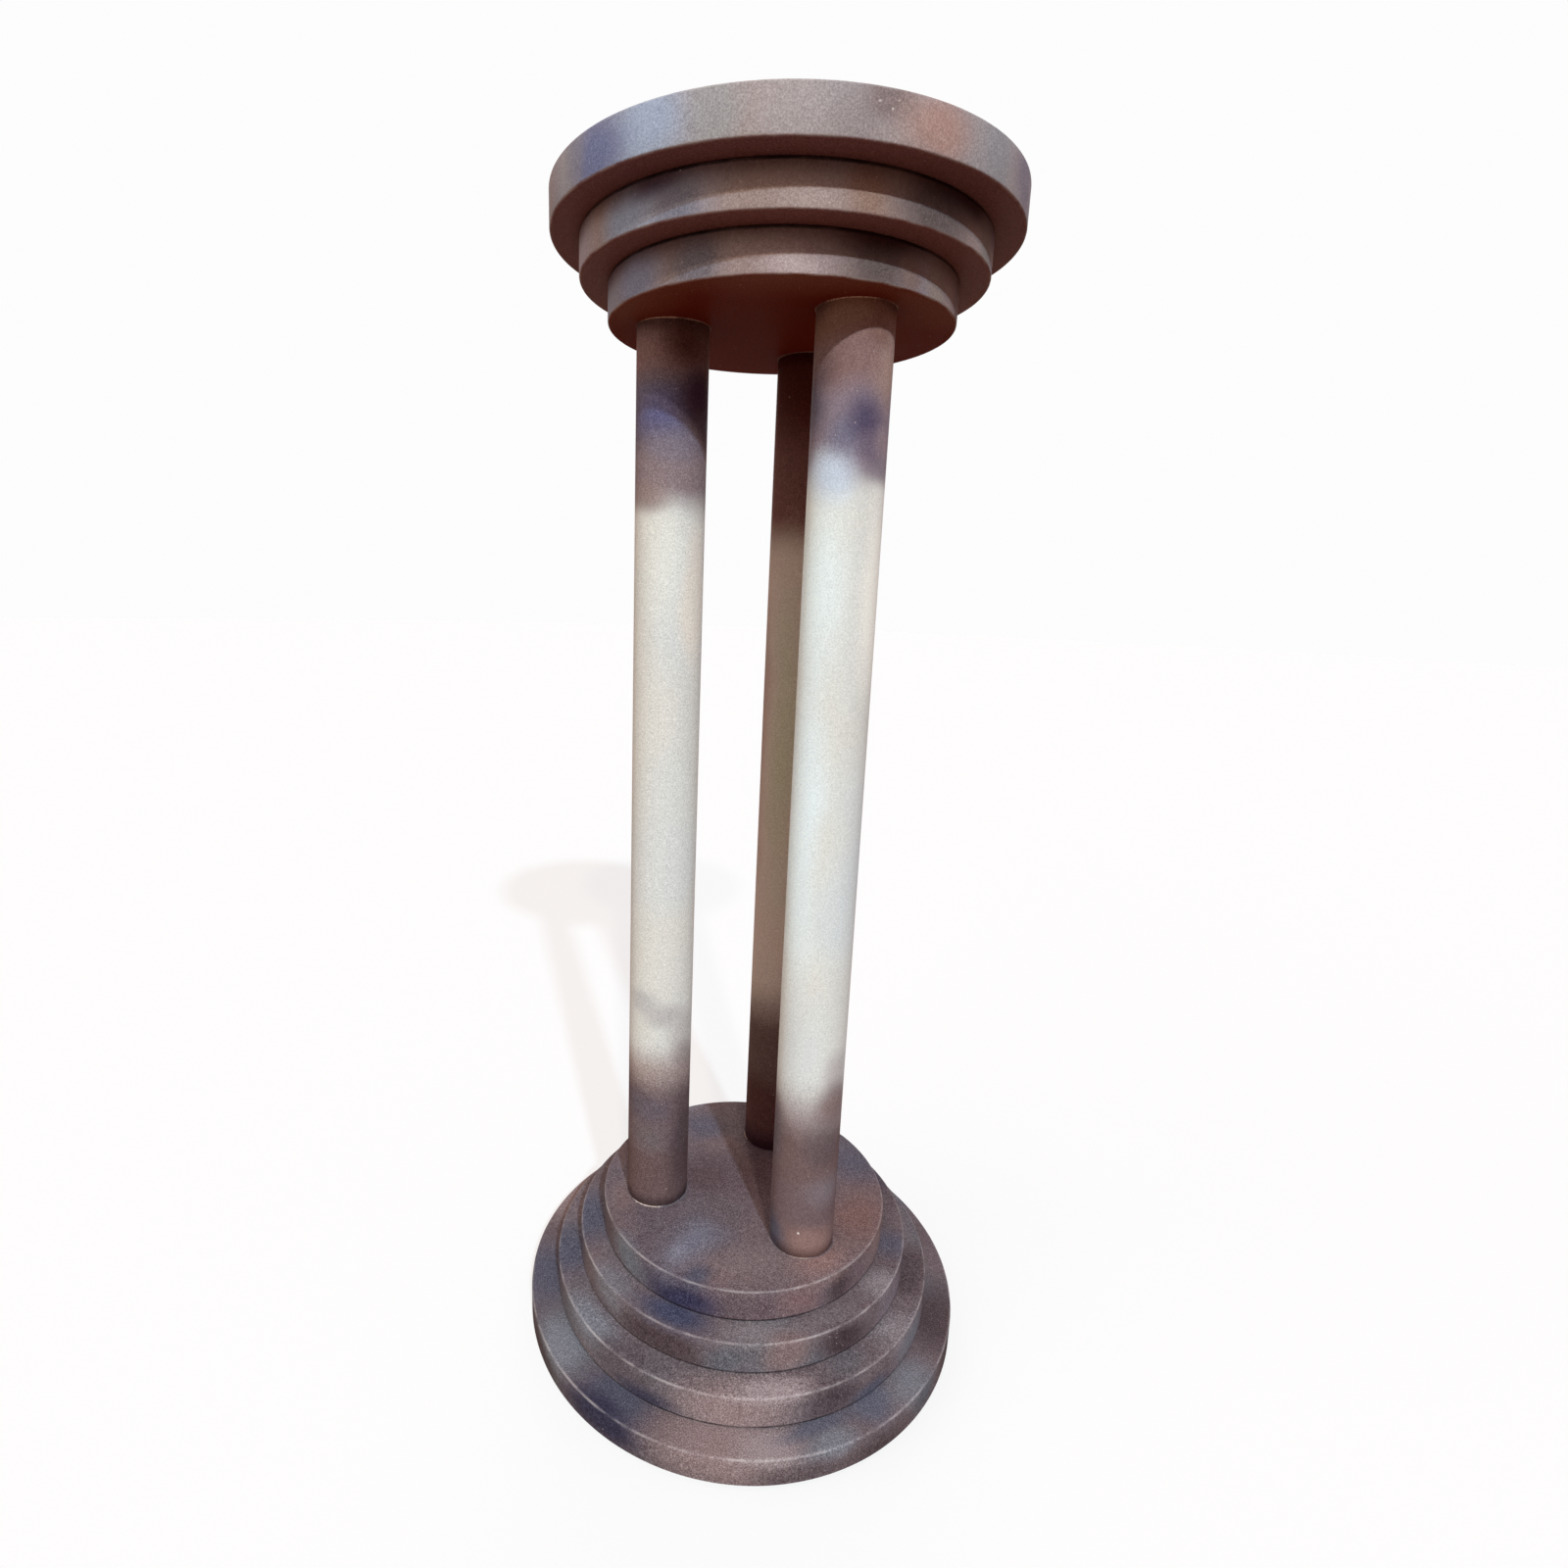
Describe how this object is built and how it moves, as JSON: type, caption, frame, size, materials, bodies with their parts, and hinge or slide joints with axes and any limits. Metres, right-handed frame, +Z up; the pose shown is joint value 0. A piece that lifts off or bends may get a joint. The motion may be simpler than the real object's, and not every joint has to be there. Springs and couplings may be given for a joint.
{
  "type": "pedestal column stand",
  "caption": "Round pedestal stand: a stepped base, round columns set in a triangle, and a stepped capital whose flat top carries a plant or an ornament.",
  "frame": {"origin": "on the floor, in the middle of the base", "axes": "+Z up along the stand's axis; one column stands towards +Y and the other two towards -Y, left and right"},
  "size_m": [0.3556, 0.3556, 0.8442],
  "materials": {
    "painted_board": "matte paint sprayed in soft clouds of mauve, grey, brown and blue-violet, finely speckled",
    "painted_tube": "matte off-white paint that fades into mauve and brown at both ends, finely speckled",
    "painted_filler": "matte paint over filler",
    "bare_wood": "turned, unfinished",
    "zinc_steel": "bright zinc plate",
    "glide_nylon": "moulded, satin"
  },
  "bodies": {
    "root": {"base_disc_1": "painted_board", "base_disc_2": "painted_board", "base_disc_3": "painted_board", "base_disc_4": "painted_board", "capital_disc_1": "painted_board", "capital_disc_2": "painted_board", "capital_disc_3": "painted_board", "column_1": "painted_tube", "column_2": "painted_tube", "column_3": "painted_tube", "foot_filler": "painted_filler", "head_filler": "painted_filler", "lower_plug_1": "bare_wood", "lower_plug_2": "bare_wood", "lower_plug_3": "bare_wood", "upper_plug_1": "bare_wood", "upper_plug_2": "bare_wood", "upper_plug_3": "bare_wood", "capital_dowels": "bare_wood", "base_screws_1": "zinc_steel", "base_screws_2": "zinc_steel", "base_screws_3": "zinc_steel", "capital_screws": "zinc_steel", "lower_plug_screws": "zinc_steel", "upper_plug_screws": "zinc_steel", "glide_nails": "zinc_steel", "floor_glides": "glide_nylon"}
  },
  "joints": []
}
